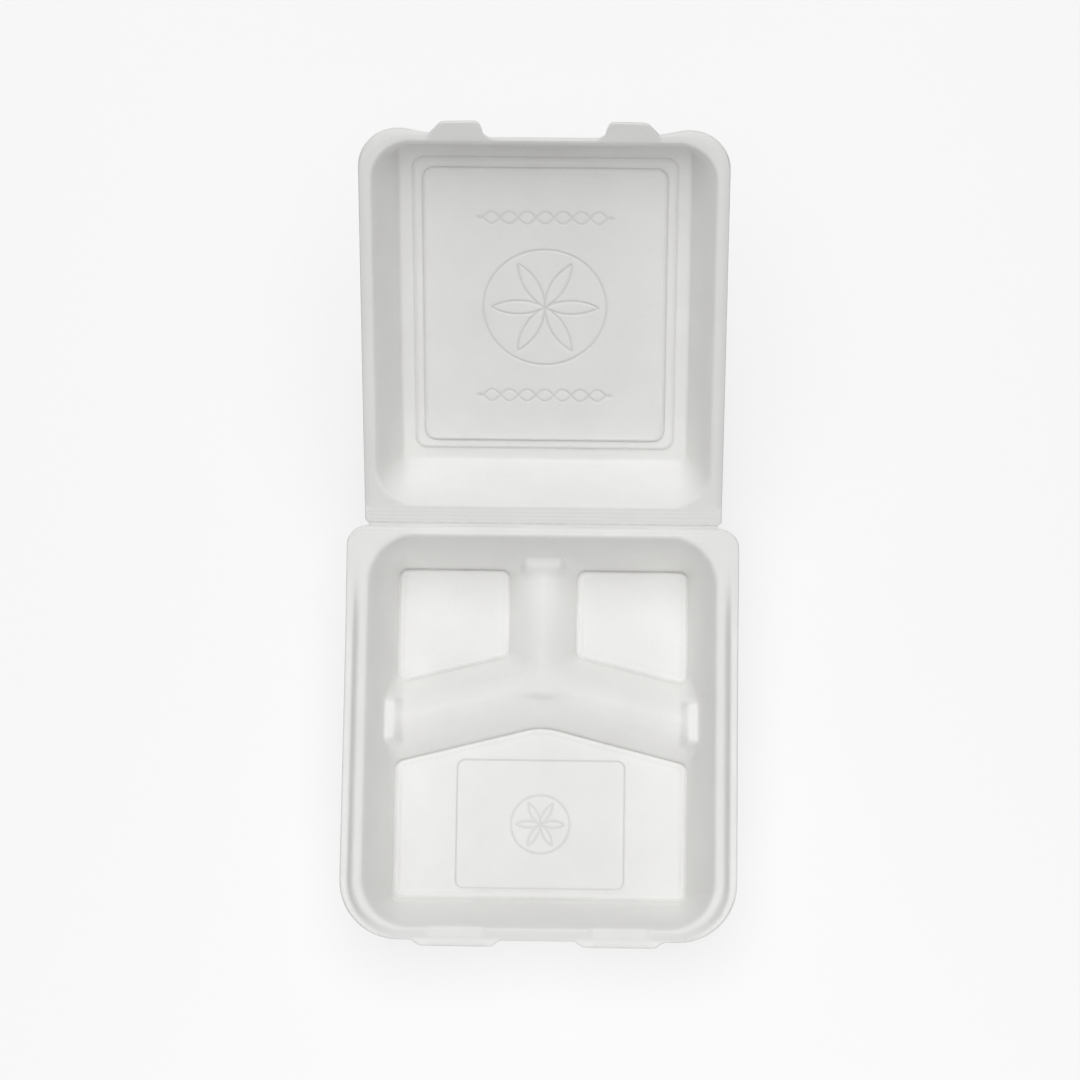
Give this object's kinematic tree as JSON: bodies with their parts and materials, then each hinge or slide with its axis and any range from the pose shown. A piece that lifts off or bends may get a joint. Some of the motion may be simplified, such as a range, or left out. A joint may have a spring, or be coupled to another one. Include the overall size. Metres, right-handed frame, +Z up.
{
  "type": "hinged lid food container",
  "caption": "White foam takeaway container, open: a three-compartment tray with Y-shaped dividers and a tabbed lid, joined by a scored crease",
  "frame": {"origin": "on the table, midway between the sides, under the back corner of the front compartment's foot", "axes": "X along the crease, +Y from the tray's front to the crease and the lid, Z up"},
  "size_m": [0.2, 0.3915, 0.1727],
  "materials": {
    "foam_skin": "matte white expanded polystyrene skin with fine cells",
    "foam_crushed": "matte white foam crushed thin in the crease"
  },
  "bodies": {
    "tray": {"tray": "foam_skin", "hinge_web": "foam_crushed"},
    "lid": {"lid": "foam_skin"}
  },
  "joints": [
    {"name": "lid_hinge", "type": "hinge", "parent": "tray", "child": "lid", "pos_m": [0, 0.09762, 0.0444], "axis": [1, 0, 0], "range_deg": [-35.5, 144.5], "deforming": ["hinge_web"]}
  ]
}
